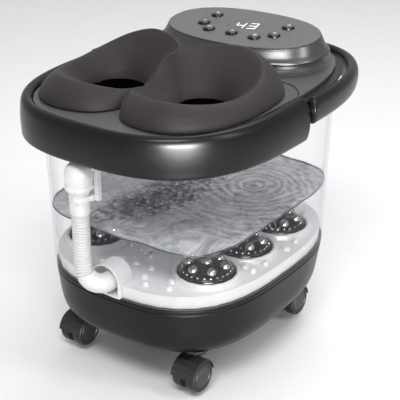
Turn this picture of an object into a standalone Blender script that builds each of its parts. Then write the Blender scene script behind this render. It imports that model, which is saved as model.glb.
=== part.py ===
"""Foot spa basin on casters, built as an assembly of separate named pieces.

Units are metres. +Z is up, +X is to the user's right and +Y runs from the heels to the control pod.
The origin is on the floor, at the middle of the object's footprint.
"""
import math

import bmesh
import bpy
from mathutils import Matrix, Vector

# ---------------------------------------------------------------- driving dimensions
GAP = 0.0003                # clearance between pieces that touch
WALL = 0.003                # thickness of the large mouldings
PLAN_POWER = 2.9            # superellipse exponent of the plan outlines
PLAN_STEPS = 48             # corners in one plan outline

BASE_BOTTOM = 0.0580
BASE_TOP = 0.1264
FLOOR_TOP = 0.1450          # upper face of the floor tray
TUB_TOP = 0.3445
DECK_FRONT_Y = -0.2110      # where the deck plane has its stated height
DECK_FRONT_Z = 0.3580
DECK_SLOPE = 0.024
DECK_PLATE = 0.0032
SEAM_GAP = 0.0010           # visible joint between the lid and the rear deck
RIM_SPLIT_Y = -0.006        # where the front bumper ends, on both sides
PANEL_Y = 0.0987            # where the control panel has its stated height
PANEL_Z = 0.4020
PANEL_SLOPE = 0.097
POD_Y = 0.1096
POD_POWER = 2.34
SKIRT_DROP = 0.0160         # how far the cuffs reach down through the holes of the lid
HOLE_DROP = 0.0082          # how far the narrow edge of a cuff lies under the lid
CUFF_X = 0.0665             # centre of a foot hole from the middle plane
CUFF_Y = -0.0770

HANDLE_PIVOT = Vector((0.0, 0.0265, 0.3500))
HANDLE_END_Y = -0.0030

DISC_X = 0.090
DISC_ROWS = (("front", -0.100), ("middle", -0.015), ("rear", 0.070))
SIDES = (("left", -1), ("right", 1))
DISC_PULLEY_R = 0.0205
MOTOR_PULLEY_R = 0.0080
BELT_GAP = 0.0003
BELT_THICK = 0.0016
MOTOR_Y = DISC_ROWS[2][1] + DISC_PULLEY_R - MOTOR_PULLEY_R

BUTTON_PLACES = (("power", 0.0575, 0.1316), ("heat", 0.0562, 0.0983), ("timer", 0.0361, 0.0812),
                 ("bubble", 0.0, 0.0819), ("massage", -0.0361, 0.0812), ("light", -0.0562, 0.0983),
                 ("mode", -0.0575, 0.1316))
BUTTON_R = 0.0084

CASTER_X = 0.0950
CASTER_STEMS = (("front", -0.1295), ("rear", 0.1077))
CASTER_TRAIL = 0.0087
WHEEL_R = 0.0210

HOSE_R = 0.0120
HOSE_X = -0.0175
HOSE_TOP = 0.2720
HOSE_Y = -0.2100
NICHE_HALF = 0.0225
NICHE_CENTRE_Z = 0.1475


# ---------------------------------------------------------------- scene and materials
def clear_scene():
    for old in list(bpy.data.objects):
        bpy.data.objects.remove(old, do_unlink=True)


def new_collection(name):
    collection = bpy.data.collections.new(name)
    bpy.context.scene.collection.children.link(collection)
    return collection


clear_scene()
PARTS = new_collection("foot_spa_basin")
CUTTERS = new_collection("cutters")


def new_material(name, colour, roughness, metallic=0.0, alpha=1.0):
    material = bpy.data.materials.new(name)
    material.use_nodes = True
    shader = material.node_tree.nodes["Principled BSDF"]
    shader.inputs["Base Color"].default_value = (*colour, 1.0)
    shader.inputs["Roughness"].default_value = roughness
    shader.inputs["Metallic"].default_value = metallic
    shader.inputs["Alpha"].default_value = alpha
    return material


CHARCOAL = new_material("charcoal_satin", (0.045, 0.045, 0.047), 0.38)
BASE_BLACK = new_material("base_black", (0.020, 0.020, 0.021), 0.42)
DECK_GREY = new_material("deck_grey", (0.120, 0.120, 0.122), 0.45)
POD_GREY = new_material("pod_grey", (0.200, 0.200, 0.203), 0.36, 0.4)
CLEAR = new_material("clear_plastic", (0.90, 0.93, 0.96), 0.05, 0.0, 0.25)
WHITE = new_material("white_plastic", (0.82, 0.82, 0.82), 0.35)
SILICONE = new_material("cuff_silicone", (0.075, 0.068, 0.065), 0.75)
BUTTON_BLACK = new_material("button_black", (0.02, 0.02, 0.02), 0.15)
CHROME = new_material("dark_chrome", (0.30, 0.27, 0.26), 0.15, 1.0)
RUBBER = new_material("seal_rubber", (0.03, 0.03, 0.03), 0.8)
STEEL = new_material("pin_steel", (0.6, 0.6, 0.6), 0.3, 1.0)
BOARD = new_material("circuit_board", (0.02, 0.12, 0.05), 0.5)
DISPLAY = new_material("smoked_lens", (0.10, 0.10, 0.10), 0.2)
CASTER_GREY = new_material("caster_plastic", (0.035, 0.035, 0.037), 0.5)


# ---------------------------------------------------------------- outlines and heights
def deck_height(y):
    return DECK_FRONT_Z + DECK_SLOPE * (y - DECK_FRONT_Y)


def panel_height(y):
    return PANEL_Z + PANEL_SLOPE * (y - PANEL_Y)


def oval_point(angle, half_x, half_front, half_rear, centre_y, power):
    """Point of a superellipse seen from its centre under the given angle."""
    half_y = half_rear if math.sin(angle) > 0 else half_front
    spread = abs(math.cos(angle) / half_x) ** power + abs(math.sin(angle) / half_y) ** power
    reach = spread ** (-1.0 / power)
    return reach * math.cos(angle), centre_y + reach * math.sin(angle)


def oval(half_x, half_y, centre_y, z, half_rear=None, power=PLAN_POWER):
    """One ring of a loft: its size, its place and its height, a number or a function of y."""
    return half_x, half_y, half_y if half_rear is None else half_rear, centre_y, z, power


def ring_point(ring, angle):
    half_x, front, rear, centre_y, z, power = ring
    x, y = oval_point(angle, half_x, front, rear, centre_y, power)
    return Vector((x, y, z(y) if callable(z) else z))


# ---------------------------------------------------------------- building blocks
def add_mesh_object(name, bm, material, origin=Vector(), collection=PARTS, smooth=True):
    bmesh.ops.recalc_face_normals(bm, faces=bm.faces)
    bmesh.ops.translate(bm, verts=bm.verts, vec=-origin)
    mesh = bpy.data.meshes.new(name)
    bm.to_mesh(mesh)
    bm.free()
    if smooth:
        mesh.shade_smooth()
        mesh.set_sharp_from_angle(angle=math.radians(35))
    mesh.materials.append(material)
    thing = bpy.data.objects.new(name, mesh)
    thing.location = origin
    collection.objects.link(thing)
    return thing


def bridge(bm, first, second, closed):
    count = len(first)
    for k in range(count if closed else count - 1):
        nxt = (k + 1) % count
        bm.faces.new((first[k], first[nxt], second[nxt], second[k]))


def full_angles(steps=PLAN_STEPS):
    return [math.tau * k / steps for k in range(steps)]


def closed_ring(name, rings, material, steps=PLAN_STEPS):
    """Loft round the whole plan through a closed profile, like a tube bent round the oval."""
    bm = bmesh.new()
    loops = [[bm.verts.new(ring_point(r, a)) for a in full_angles(steps)] for r in rings]
    for k in range(len(loops)):
        bridge(bm, loops[k], loops[(k + 1) % len(loops)], True)
    return add_mesh_object(name, bm, material)


def capped_loft(name, rings, material, steps=PLAN_STEPS, collection=PARTS):
    """Loft whose first and last rings are closed by flat faces."""
    bm = bmesh.new()
    loops = [[bm.verts.new(ring_point(r, a)) for a in full_angles(steps)] for r in rings]
    for first, second in zip(loops, loops[1:]):
        bridge(bm, first, second, True)
    bm.faces.new(loops[0])
    bm.faces.new(loops[-1])
    return add_mesh_object(name, bm, material, collection=collection)


def end_angle(ring, y):
    """Angle under which the ring's +X side crosses the plane of constant y."""
    half_x, front, rear, centre_y, _z, power = ring
    half_y = rear if y > centre_y else front
    x = half_x * (1.0 - abs((y - centre_y) / half_y) ** power) ** (1.0 / power)
    return math.atan2(y - centre_y, x)


def arc_loft(name, rings, y_end, rear, fractions, material, origin=Vector(), nose=None):
    """Loft of a closed profile along the front or rear part of the oval, with flat ends."""
    bm = bmesh.new()
    loops = []
    for ring in rings:
        start = end_angle(ring, y_end)
        stop = math.pi - start
        if not rear:
            stop -= math.tau
        angles = [start + (stop - start) * f for f in fractions]
        points = [ring_point(ring, a) for a in angles]
        if nose:
            points = [nose(p) for p in points]
        loops.append([bm.verts.new(p) for p in points])
    for k in range(len(loops)):
        bridge(bm, loops[k], loops[(k + 1) % len(loops)], False)
    bm.faces.new([loop[0] for loop in loops])
    bm.faces.new([loop[-1] for loop in loops])
    return add_mesh_object(name, bm, material, origin)


def turned(name, profile, material, steps, location=(0, 0, 0), rotation=(0, 0, 0), closed=False,
           collection=PARTS):
    """Solid of revolution about local Z from (radius, height) points, outer side running down."""
    mesh = bpy.data.meshes.new(name)
    edges = [(k, k + 1) for k in range(len(profile) - 1)]
    if closed:
        edges.append((len(profile) - 1, 0))
    mesh.from_pydata([(r, 0, z) for r, z in profile], edges, [])
    mesh.materials.append(material)
    thing = bpy.data.objects.new(name, mesh)
    thing.location = location
    thing.rotation_euler = rotation
    collection.objects.link(thing)
    screw = thing.modifiers.new("turn", "SCREW")
    screw.steps = steps
    screw.render_steps = steps
    screw.use_merge_vertices = True
    screw.merge_threshold = 0.00001
    screw.use_smooth_shade = True
    return thing


def box(name, size, centre, material, bevel=0.0, rotation=(0, 0, 0), collection=PARTS):
    bm = bmesh.new()
    bmesh.ops.create_cube(bm, size=1.0)
    bmesh.ops.scale(bm, vec=size, verts=bm.verts)
    thing = add_mesh_object(name, bm, material, collection=collection, smooth=False)
    thing.location = centre
    thing.rotation_euler = rotation
    if bevel:
        edge = thing.modifiers.new("edge", "BEVEL")
        edge.width = bevel
        edge.segments = 2
    return thing


def cylinder(name, radius, depth, centre, material, rotation=(0, 0, 0), steps=24, collection=PARTS):
    bm = bmesh.new()
    bmesh.ops.create_cone(bm, cap_ends=True, segments=steps, radius1=radius, radius2=radius, depth=depth)
    thing = add_mesh_object(name, bm, material, collection=collection)
    thing.location = centre
    thing.rotation_euler = rotation
    return thing


def plate(name, outlines, thickness, material, matrix=None, collection=PARTS):
    """Flat plate from closed outlines in plan, the later ones being holes, as a mesh object."""
    curve = bpy.data.curves.new(name, "CURVE")
    curve.dimensions = "2D"
    curve.fill_mode = "BOTH"
    curve.extrude = thickness / 2
    for outline in outlines:
        spline = curve.splines.new("POLY")
        spline.points.add(len(outline) - 1)
        for point, (x, y) in zip(spline.points, outline):
            point.co = (x, y, 0, 1)
        spline.use_cyclic_u = True
    flat = bpy.data.objects.new(name + "_outline", curve)
    collection.objects.link(flat)
    bpy.context.view_layer.update()
    mesh = bpy.data.meshes.new_from_object(flat.evaluated_get(bpy.context.evaluated_depsgraph_get()))
    bpy.data.objects.remove(flat)
    bm = bmesh.new()
    bm.from_mesh(mesh)
    bmesh.ops.remove_doubles(bm, verts=bm.verts, dist=0.00001)
    if matrix:
        bmesh.ops.transform(bm, matrix=matrix, verts=bm.verts)
    return add_mesh_object(name, bm, material, collection=collection, smooth=False)


def as_cutter(thing):
    thing.hide_render = True
    thing.display_type = "WIRE"
    return thing


def combine(target, tool, operation):
    change = target.modifiers.new(tool.name, "BOOLEAN")
    change.operation = operation
    change.solver = "EXACT"
    change.object = as_cutter(tool)


def drill(target, radius, depth, centre, rotation=(0, 0, 0), steps=16):
    name = target.name + "_hole_" + str(len(target.modifiers))
    tool = cylinder(name, radius, depth, centre, target.data.materials[0], rotation, steps, CUTTERS)
    combine(target, tool, "DIFFERENCE")


ALONG_X = (0, math.pi / 2, 0)
ALONG_Y = (math.pi / 2, 0, 0)


# ---------------------------------------------------------------- base
def make_base():
    floor_in = BASE_BOTTOM + WALL
    shell = closed_ring("base_shell", [
        oval(0.0700, 0.1050, -0.0120, BASE_BOTTOM),
        oval(0.1325, 0.1530, -0.0140, BASE_BOTTOM),
        oval(0.1385, 0.1600, -0.0140, BASE_BOTTOM + 0.0018),
        oval(0.1435, 0.1675, -0.0120, BASE_BOTTOM + 0.0085),
        oval(0.1478, 0.1732, -0.0100, 0.0800),
        oval(0.1524, 0.1805, -0.0075, BASE_TOP),
        oval(0.1440, 0.1715, -0.0075, BASE_TOP),
        oval(0.1440, 0.1715, -0.0075, BASE_TOP - WALL),
        oval(0.1489, 0.1769, -0.0078, BASE_TOP - WALL - 0.001),
        oval(0.1446, 0.1700, -0.0100, 0.0800),
        oval(0.1400, 0.1640, -0.0120, BASE_BOTTOM + 0.0095),
        oval(0.1330, 0.1540, -0.0138, floor_in),
        oval(0.0700, 0.1050, -0.0120, floor_in)], BASE_BLACK)
    capped_loft("bottom_cover", [
        oval(0.0697, 0.1047, -0.0120, BASE_BOTTOM),
        oval(0.0697, 0.1047, -0.0120, floor_in + GAP),
        oval(0.0760, 0.1110, -0.0120, floor_in + GAP),
        oval(0.0760, 0.1110, -0.0120, floor_in + GAP + 0.0022)], BASE_BLACK)
    gland_y = 0.1590
    gland = Vector((0.0500, gland_y, 0.0860))
    drill(shell, 0.0083, 0.05, gland, ALONG_Y)
    turned("cord_gland", [(0.0035, 0.0105), (0.0060, 0.0105), (0.0080, 0.0040), (0.0110, 0.0030),
                          (0.0110, 0.0006), (0.0080, 0.0006), (0.0080, -0.0130), (0.0035, -0.0130)],
           RUBBER, 16, gland + Vector((0, 0.0062, 0)), (-math.pi / 2, 0, 0), closed=True)


def make_casters():
    wheel_side = [(0.0, 0.0178), (0.0190, 0.0178), (WHEEL_R, 0.0155), (WHEEL_R, 0.0040), (0.0036, 0.0040)]
    wheel = wheel_side + [(r, -z) for r, z in reversed(wheel_side)]
    for row, stem_y in CASTER_STEMS:
        for side, sign in SIDES:
            label = row + "_" + side
            x = sign * CASTER_X
            turned("caster_socket_" + label, [
                (0.0044, BASE_BOTTOM - GAP), (0.0175, BASE_BOTTOM - GAP), (0.0175, 0.0550),
                (0.0135, 0.0500), (0.0044, 0.0500)], CASTER_GREY, 12, (x, stem_y, 0), closed=True)
            make_caster_fork("caster_fork_" + label, x, stem_y)
            turned("caster_wheel_" + label, wheel, CASTER_GREY, 16, (x, stem_y - CASTER_TRAIL, WHEEL_R),
                   ALONG_X)


def make_caster_fork(name, x, stem_y):
    """Hood over both wheels, with the middle web that carries the axle and the swivel stem."""
    axle = (-CASTER_TRAIL, WHEEL_R)
    inner = 0.0216
    outer = 0.0236
    arc = [math.radians(8 + 20.5 * k) for k in range(9)]
    band = [(axle[0] + outer * math.cos(a), axle[1] + outer * math.sin(a)) for a in arc]
    band += [(axle[0] + inner * math.cos(a), axle[1] + inner * math.sin(a)) for a in reversed(arc)]
    upright = Matrix.Translation((x, stem_y, 0)) @ Matrix(((0, 0, 1, 0), (1, 0, 0, 0), (0, 1, 0, 0),
                                                          (0, 0, 0, 1)))
    fork = plate(name, [band], 0.0350, CASTER_GREY, upright)
    web = [(axle[0] + 0.0085 * math.cos(a), axle[1] + 0.0085 * math.sin(a))
           for a in [math.radians(200 + 20 * k) for k in range(8)]]
    web += [(0.0060, 0.0465), (-0.0200, 0.0445)]
    tool = plate(name + "_web", [web], 0.0050, CASTER_GREY, upright, CUTTERS)
    combine(fork, tool, "UNION")
    stem = cylinder(name + "_stem", 0.0040, 0.0152, (x, stem_y, 0.0495), CASTER_GREY, steps=14,
                    collection=CUTTERS)
    combine(fork, stem, "UNION")
    drill(fork, 0.0039, 0.012, (x, stem_y + axle[0], axle[1]), ALONG_X, 14)
    fork.data.transform(Matrix.Translation((-x, -stem_y, 0)))
    fork.location = (x, stem_y, 0)


# ---------------------------------------------------------------- tub, floor tray and drain
def niche_outline(half, foot_z):
    """Arch in the XZ plane: straight legs under a half circle."""
    arc = [math.radians(15 * k) for k in range(13)]
    top = [(half * math.cos(a), NICHE_CENTRE_Z + half * math.sin(a)) for a in arc]
    return [(half, foot_z)] + top + [(-half, foot_z)]


def arch_block(name, half, foot_z, y_front, y_rear, material, collection):
    upright = Matrix(((1, 0, 0, 0), (0, 0, 1, (y_front + y_rear) / 2), (0, 1, 0, 0), (0, 0, 0, 1)))
    return plate(name, [niche_outline(half, foot_z)], y_rear - y_front, material, upright, collection)


def make_tub():
    gasket_top = BASE_TOP + GAP + 0.0015
    closed_ring("tub_gasket", [
        oval(0.1495, 0.1765, -0.0080, BASE_TOP + GAP), oval(0.1522, 0.1795, -0.0078, BASE_TOP + GAP),
        oval(0.1522, 0.1795, -0.0078, gasket_top), oval(0.1495, 0.1765, -0.0080, gasket_top)], RUBBER)
    wall_foot = gasket_top + GAP
    wall = closed_ring("tub_wall", [
        oval(0.1535, 0.1805, -0.0080, wall_foot), oval(0.1606, 0.1856, -0.0080, TUB_TOP),
        oval(0.1576, 0.1826, -0.0080, TUB_TOP), oval(0.1505, 0.1775, -0.0080, wall_foot)], CLEAR)
    tray = capped_loft("floor_tray", [
        oval(0.1460, 0.1730, -0.0080, FLOOR_TOP - 0.0025), oval(0.1445, 0.1715, -0.0080, BASE_TOP + GAP),
        oval(0.1492, 0.1762, -0.0080, BASE_TOP + GAP), oval(0.1500, 0.1770, -0.0080, FLOOR_TOP)], WHITE)
    for row, y in DISC_ROWS:
        for side, sign in SIDES:
            cup = turned("cup_" + row + side, [
                (0.0388, FLOOR_TOP + 0.0065), (0.0420, FLOOR_TOP + 0.0065), (0.0425, FLOOR_TOP - 0.0010),
                (0.0388, FLOOR_TOP - 0.0010)], WHITE, 16, (sign * DISC_X, y, 0), closed=True,
                collection=CUTTERS)
            combine(tray, cup, "UNION")
            drill(tray, 0.0049, 0.02, (sign * DISC_X, y, FLOOR_TOP), steps=12)
    drill(tray, 0.0044, 0.02, (0, -0.1000, FLOOR_TOP), steps=12)
    niche_front = -0.1910
    niche_rear = -0.1640
    outside = niche_front - 0.01
    for target, front, rear in ((wall, outside, niche_rear), (tray, outside, niche_rear + GAP)):
        tool = arch_block(target.name + "_niche", NICHE_HALF + GAP, 0.1200, front, rear, WHITE, CUTTERS)
        combine(target, tool, "DIFFERENCE")
    niche = arch_block("drain_niche", NICHE_HALF, wall_foot, niche_front, niche_rear, WHITE, PARTS)
    hollow = arch_block("niche_hollow", NICHE_HALF - 0.0022, wall_foot + 0.0022, niche_front - 0.01,
                        niche_rear - 0.0022, WHITE, CUTTERS)
    combine(niche, hollow, "DIFFERENCE")
    spigot = cylinder("niche_spigot", 0.0095, 0.0080, (0.0040, niche_rear - 0.0050, 0.1475), WHITE, ALONG_Y,
                      16, CUTTERS)
    combine(niche, spigot, "UNION")
    turned("temperature_probe", [(0.0, 0.1510), (0.0040, 0.1500), (0.0065, 0.1475),
                                 (0.0065, FLOOR_TOP + GAP), (0.0040, FLOOR_TOP + GAP), (0.0040, 0.1250),
                                 (0.0, 0.1250)], STEEL, 12, (0, -0.1000, 0))


def smooth_route(points, per_span):
    """Points of a Catmull-Rom curve through the given route."""
    ends = [points[0] * 2 - points[1]] + list(points) + [points[-1] * 2 - points[-2]]
    route = []
    for a, b, c, d in zip(ends, ends[1:], ends[2:], ends[3:]):
        for k in range(per_span):
            t = k / per_span
            route.append(0.5 * ((2 * b) + (c - a) * t + (2 * a - 5 * b + 4 * c - d) * t ** 2
                                + (3 * b - a - 3 * c + d) * t ** 3))
    return route + [points[-1]]


def make_drain_hose():
    """Drain hose held at the niche and in the clip under the rim, with its cap and clip."""
    route = [Vector(p) for p in (
        (0.0040, -0.1735, 0.1475), (0.0040, -0.1850, 0.1475), (0.0025, -0.1970, 0.1482),
        (-0.0050, -0.2065, 0.1520), (-0.0140, -0.2098, 0.1620), (HOSE_X, HOSE_Y, 0.1800),
        (HOSE_X, HOSE_Y, 0.2200), (HOSE_X, HOSE_Y, HOSE_TOP))]
    curve = bpy.data.curves.new("drain_hose", "CURVE")
    curve.dimensions = "3D"
    curve.bevel_depth = HOSE_R
    curve.bevel_resolution = 4
    curve.use_fill_caps = True
    curve.materials.append(WHITE)
    spline = curve.splines.new("POLY")
    points = smooth_route(route, 3)
    spline.points.add(len(points) - 1)
    for point, place in zip(spline.points, points):
        point.co = (*place, 1)
    PARTS.objects.link(bpy.data.objects.new("drain_hose", curve))
    turned("hose_cap", [(0.0, 0.0385), (0.0075, 0.0373), (0.0130, 0.0332), (0.0166, 0.0260),
                        (0.0171, 0.0180), (0.0160, 0.0095), (0.0168, 0.0085), (0.0168, 0.0040),
                        (0.0150, GAP), (0.0, GAP)], WHITE, 18, (HOSE_X, HOSE_Y, HOSE_TOP))
    ring_in = HOSE_R + GAP
    ring_out = HOSE_R + 0.0030
    arc = [math.radians(-75 + 18 * k) for k in range(15)]
    outline = [(HOSE_X + ring_out * math.cos(a), HOSE_Y + ring_out * math.sin(a)) for a in arc]
    outline += [(HOSE_X + ring_in * math.cos(a), HOSE_Y + ring_in * math.sin(a)) for a in reversed(arc)]
    clip = plate("hose_clip", [outline], 0.0060, WHITE, Matrix.Translation((0, 0, 0.2650)))
    post = box("clip_post", (0.0060, 0.0060, 0.0500), (HOSE_X + 0.0175, -0.1964, 0.2850), WHITE,
               collection=CUTTERS)
    combine(clip, post, "UNION")
    arm = box("clip_arm", (0.0050, 0.0100, 0.0060), (HOSE_X + 0.0155, -0.2020, 0.2650), WHITE,
              collection=CUTTERS)
    combine(clip, arm, "UNION")


# ---------------------------------------------------------------- rim, deck and handle
def seam_y(x):
    """Rear edge of the lift-off lid."""
    return 0.0300 + 0.0120 * (x / 0.09) ** 2 - 0.0605 * (x / 0.152) ** 6


def plan_edge(half_x, front, rear, centre_y):
    """The same oval as in the rings, as a list of plan points from the +X side round the rear."""
    return [oval_point(a, half_x, front, rear, centre_y, PLAN_POWER) for a in full_angles()]


def make_deck():
    under = DECK_PLATE + GAP
    closed = closed_ring("top_collar", [
        oval(0.1400, 0.1640, -0.0300, lambda y: deck_height(y) - under, 0.1950),
        oval(0.1400, 0.1640, -0.0300, lambda y: deck_height(y) - under - WALL, 0.1950),
        oval(0.1612, 0.1862, -0.0080, lambda y: deck_height(y) - under - WALL),
        oval(0.1612, 0.1862, -0.0080, 0.3350),
        oval(0.1638, 0.1888, -0.0080, 0.3350),
        oval(0.1638, 0.1888, -0.0080, lambda y: deck_height(y) - under - WALL - 0.0004),
        oval(0.1640, 0.1785, -0.0345, lambda y: deck_height(y) - under - WALL + 0.0004, 0.2400),
        oval(0.1640, 0.1785, -0.0345, lambda y: deck_height(y) - under, 0.2400)], CHARCOAL)
    for _side, sign in SIDES:
        drill(closed, 0.0038, 0.02, (sign * 0.1620, HANDLE_PIVOT.y, HANDLE_PIVOT.z), ALONG_X, 14)
    edge = plan_edge(0.1520, 0.1770, 0.2385, -0.0345)
    tilt = Matrix.Rotation(math.atan(DECK_SLOPE), 4, "X")
    lift = Matrix.Translation((0, 0, deck_height(0) - DECK_PLATE / 2))
    seam = [(-0.1515 + 0.303 * k / 24) for k in range(25)]
    front = [p for p in edge if p[1] < seam_y(0.1515) - 0.004]
    front.sort(key=lambda p: math.atan2(-p[0], -(p[1] + 0.0345)))
    lid_outline = [(x, seam_y(x) - SEAM_GAP / 2) for x in seam] + front[::-1]
    holes = []
    for _side, sign in SIDES:
        holes.append([(sign * CUFF_X + 0.0475 * math.cos(a), CUFF_Y + 0.0475 * math.sin(a))
                      for a in full_angles(24)])
    plate("lid_frame", [lid_outline] + holes, DECK_PLATE, DECK_GREY, lift @ tilt)
    rear = [p for p in edge if p[1] > seam_y(0.1515) + 0.004]
    rear.sort(key=lambda p: math.atan2(p[0], p[1] + 0.0345))
    rear_outline = [(x, seam_y(x) + SEAM_GAP / 2) for x in seam] + rear[::-1]
    plate("rear_deck", [rear_outline], DECK_PLATE, DECK_GREY, lift @ tilt)


def make_rim():
    """Front bumper, a hook-shaped section whose top edge follows the slope of the deck."""
    profile = [
        (0.1525, 0.1775, -0.0345, 0.3582, 1, 2.9), (0.1580, 0.1825, -0.0335, 0.3630, 1, 2.85),
        (0.1655, 0.1900, -0.0320, 0.3635, 0.9, 2.75), (0.1725, 0.1970, -0.0300, 0.3580, 0.6, 2.65),
        (0.1758, 0.2000, -0.0290, 0.3460, 0.2, 2.6), (0.1765, 0.2006, -0.0288, 0.3340, 0, 2.6),
        (0.1750, 0.1992, -0.0290, 0.3230, 0, 2.65), (0.1722, 0.1968, -0.0295, 0.3155, 0, 2.75),
        (0.1685, 0.1930, -0.0300, 0.3145, 0, 2.8), (0.1680, 0.1925, -0.0300, 0.3175, 0, 2.8),
        (0.1721, 0.1965, -0.0290, 0.3250, 0, 2.7), (0.1734, 0.1976, -0.0288, 0.3345, 0, 2.65),
        (0.1727, 0.1970, -0.0290, 0.3452, 0.2, 2.65), (0.1699, 0.1945, -0.0300, 0.3552, 0.6, 2.7),
        (0.1650, 0.1890, -0.0320, 0.3602, 0.9, 2.8), (0.1587, 0.1832, -0.0335, 0.3598, 1, 2.85),
        (0.1525, 0.1775, -0.0345, 0.3558, 1, 2.9)]

    def sloped(z, share):
        return lambda y: z + share * DECK_SLOPE * (y - DECK_FRONT_Y)

    rings = [oval(a, b, centre_y, sloped(z, share), power=power)
             for a, b, centre_y, z, share, power in profile]
    sections = [k / 28 for k in range(29)]
    arc_loft("rim_bumper", rings, RIM_SPLIT_Y, False, sections, CHARCOAL)


def handle_nose(p):
    """Round the end of the arm about the pivot, so that it clears the bumper when it turns."""
    reach = 0.0300
    back = HANDLE_PIVOT.y - p.y
    if back <= 0:
        return p
    scale = min(1.0, math.sqrt(max(0.0, reach ** 2 - back ** 2)) / 0.0175)
    middle = HANDLE_PIVOT.z + 0.0010
    return Vector((p.x, p.y, middle + (p.z - middle) * scale))


def make_handle():
    near = [0.0, 0.004, 0.010, 0.020, 0.035]
    fractions = near + [0.06 + 0.88 * k / 22 for k in range(23)] + [1.0 - f for f in reversed(near)]
    outlines = [(0.1668, 0.2430, 0.3350), (0.1652, 0.2410, 0.3400), (0.1652, 0.2410, 0.3615),
                (0.1670, 0.2430, 0.3665), (0.1715, 0.2480, 0.3678), (0.1768, 0.2533, 0.3660),
                (0.1798, 0.2564, 0.3605), (0.1806, 0.2579, 0.3520), (0.1794, 0.2560, 0.3410),
                (0.1762, 0.2528, 0.3350), (0.1710, 0.2475, 0.3338)]
    rings = [oval(a, 0.2, -0.0285, z, rear) for a, rear, z in outlines]
    handle = arc_loft("carry_handle", rings, HANDLE_END_Y, True, fractions, CHARCOAL, HANDLE_PIVOT,
                      handle_nose)
    for side, sign in SIDES:
        drill(handle, 0.0038, 0.0150, (sign * 0.1680, HANDLE_PIVOT.y, HANDLE_PIVOT.z), ALONG_X, 14)
        turned("handle_pin_" + side, [
            (0.0, 0.0225), (0.0035, 0.0225), (0.0035, 0.0050), (0.0050, 0.0050), (0.0050, 0.0028),
            (0.0, 0.0028)], STEEL, 12, (sign * 0.1525, HANDLE_PIVOT.y, HANDLE_PIVOT.z),
            (0, sign * math.pi / 2, 0))


# ---------------------------------------------------------------- foot cover
LIP_POINTS = (
    (0.1267, -0.0720, 0.3841), (0.1202, -0.0321, 0.3921), (0.1011, -0.0043, 0.4041),
    (0.0715, 0.0056, 0.4122), (0.0380, -0.0020, 0.4105), (0.0120, -0.0180, 0.4060),
    (0.0010, -0.0380, 0.4060), (0.0010, -0.0580, 0.4050), (0.0010, -0.0730, 0.3985),
    (0.0010, -0.0860, 0.3840), (0.0010, -0.1000, 0.3775), (0.0010, -0.1180, 0.3800),
    (0.0030, -0.1330, 0.3816), (0.0150, -0.1440, 0.3828), (0.0400, -0.1530, 0.3850),
    (0.0715, -0.1584, 0.3874), (0.1010, -0.1463, 0.3863), (0.1202, -0.1140, 0.3833))


def cuff_rings(per_span):
    """Sections round one cuff: skirt, funnel wall, lip, outer slope and base."""
    lips = [Vector(p) for p in LIP_POINTS]
    count = len(lips)
    rings = []
    for k in range(count):
        before, here, after, beyond = (lips[(k + j) % count] for j in (-1, 0, 1, 2))
        for i in range(per_span):
            t = i / per_span
            lip = 0.5 * ((2 * here) + (after - before) * t
                         + (2 * before - 5 * here + 4 * after - beyond) * t ** 2
                         + (3 * here - before - 3 * after + beyond) * t ** 3)
            rings.append(cuff_section(lip))
    return rings


def cuff_section(lip):
    """One section: skirt, hole edge, funnel wall, lip, outer slope and foot."""
    a = math.atan2((lip.y + 0.0742) / 0.082, (lip.x - 0.0675) / 0.0632)
    around = Vector((math.cos(a), math.sin(a), 0))
    middle = Vector((CUFF_X, CUFF_Y, 0))
    hole = middle + 0.0365 * around
    skirt = middle + 0.0455 * around
    tip = middle + 0.0400 * around
    power = 2.8 if around.x <= 0 or around.y > 0 else 2.05
    x, y = oval_point(a, 0.0775, 0.1110, 0.1110, -0.0785, power)
    foot = Vector((0.0700 + x, y, 0))
    for edge in (hole, foot, skirt, tip):
        edge.z = deck_height(edge.y) + GAP
    throat = hole.lerp(lip, 0.05)
    throat.z = hole.z + 0.003
    inside = hole.lerp(lip, 0.45)
    inside.z = hole.z + 0.58 * (lip.z - hole.z)
    shoulder = hole.lerp(lip, 0.82)
    shoulder.z = hole.z + 0.93 * (lip.z - hole.z)
    outside = lip.lerp(foot, 0.45)
    outside.z = foot.z + 0.84 * (lip.z - foot.z)
    lower = lip.lerp(foot, 0.87)
    lower.z = foot.z + 0.44 * (lip.z - foot.z)
    hole.z -= HOLE_DROP
    tip.z -= SKIRT_DROP
    bottom = hole.copy()
    bottom.z = tip.z
    return [bottom, hole, throat, inside, shoulder, lip, outside, lower, foot, skirt, tip]


def make_foot_cover():
    """Soft moulded cover with one cuff for each foot, mirrored about the middle plane."""
    rings = cuff_rings(2)
    bm = bmesh.new()
    loops = [[bm.verts.new(p) for p in ring] for ring in rings]
    for k in range(len(loops)):
        bridge(bm, loops[k], loops[(k + 1) % len(loops)], True)
    cover = add_mesh_object("foot_cover", bm, SILICONE)
    mirror = cover.modifiers.new("both_feet", "MIRROR")
    mirror.use_bisect_axis[0] = True
    mirror.merge_threshold = 0.0001


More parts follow.
